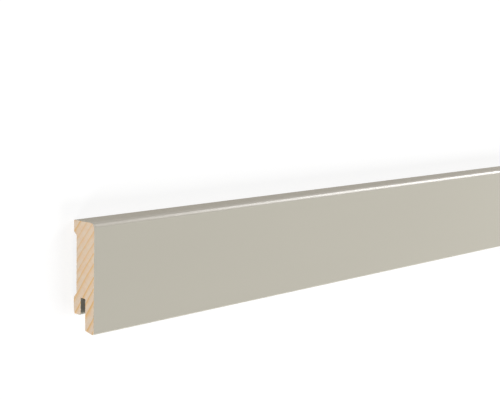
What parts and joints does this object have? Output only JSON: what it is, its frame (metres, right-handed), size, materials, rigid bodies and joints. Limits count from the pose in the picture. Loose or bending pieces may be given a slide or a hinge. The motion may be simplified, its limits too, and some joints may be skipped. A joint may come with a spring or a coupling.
{
  "type": "skirting board length",
  "caption": "Straight clip-on skirting board: flat satin face, rounded top edge, clip groove and hollowed back, sawn square at both ends.",
  "frame": {"origin": "middle of the box's underside, on the plane that the back bears on", "axes": "+X along the board, +Y from the floor edge to the top edge, +Z out of the face; the board lies on its back"},
  "size_m": [2.4, 0.058, 0.016],
  "materials": {
    "lacquered_softwood": "satin",
    "bare_softwood": "matte"
  },
  "bodies": {
    "root": {"skirting_board": "lacquered_softwood"}
  },
  "joints": []
}
